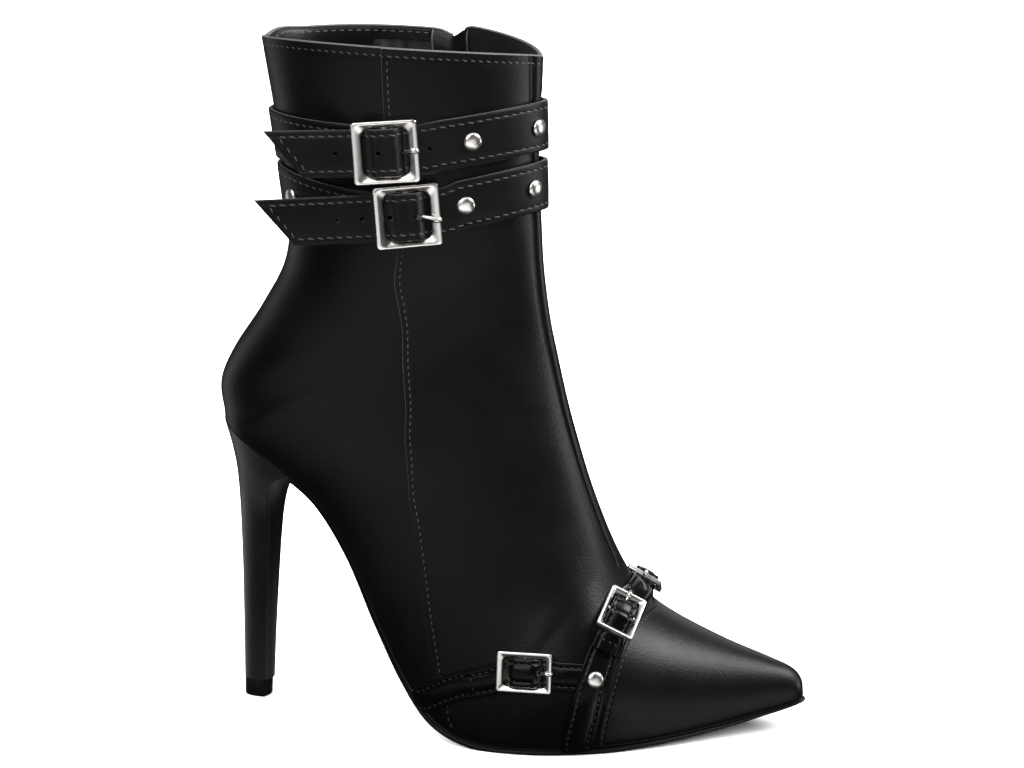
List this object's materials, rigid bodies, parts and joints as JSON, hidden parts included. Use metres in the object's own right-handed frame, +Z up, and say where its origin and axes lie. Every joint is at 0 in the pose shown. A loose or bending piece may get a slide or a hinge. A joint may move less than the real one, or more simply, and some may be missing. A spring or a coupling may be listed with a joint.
{
  "type": "pointed stiletto boot with ankle belts",
  "caption": "Pointed black leather boot for the right foot with a tall slim heel, buckled belts round the ankle, buckled straps over the forefoot and a zip on the inner side.",
  "frame": {"origin": "centre of the bounding box on the floor", "axes": "+X towards the toe, -Y towards the outer side of the right foot, +Y towards the zip, +Z up"},
  "size_m": [0.2259, 0.0848, 0.2605],
  "materials": {
    "black_leather": "smooth, half matt",
    "belt_leather": "smooth, half matt",
    "glossy_strap": "glossy",
    "black_sole": "matt",
    "lining": "matt",
    "nickel": "polished",
    "zip_tape": "woven, matt"
  },
  "bodies": {
    "boot": {"upper": "black_leather", "outsole": "black_sole", "insole": "lining", "heel": "black_leather", "heel_top_piece": "black_sole", "upper_belt_rear": "belt_leather", "upper_belt_front": "belt_leather", "lower_belt_rear": "belt_leather", "lower_belt_front": "belt_leather", "vamp_strap_lateral": "glossy_strap", "vamp_strap_medial": "glossy_strap", "vamp_strap_bridge": "glossy_strap", "side_strap_rear": "glossy_strap", "side_strap_front": "glossy_strap", "zip_strip": "zip_tape", "upper_belt_buckle": "nickel", "upper_belt_prong": "nickel", "upper_belt_stud_side": "nickel", "upper_belt_stud_front": "nickel", "lower_belt_buckle": "nickel", "lower_belt_prong": "nickel", "lower_belt_stud_side": "nickel", "lower_belt_stud_front": "nickel", "lower_belt_stud_rear": "nickel", "vamp_buckle_lateral": "nickel", "vamp_buckle_medial": "nickel", "vamp_prong_lateral": "nickel", "vamp_prong_medial": "nickel", "vamp_stud_lateral": "nickel", "vamp_stud_medial": "nickel", "side_buckle": "nickel", "side_prong": "nickel", "zip_slider": "nickel"},
    "zip_pull": {"zip_pull": "nickel"}
  },
  "joints": [
    {"name": "zip_pull_hinge", "type": "hinge", "parent": "boot", "child": "zip_pull", "pos_m": [-0.02583, 0.04037, 0.24347], "axis": [0.9796, -0.2009, 0], "range_deg": [0, 150]}
  ]
}
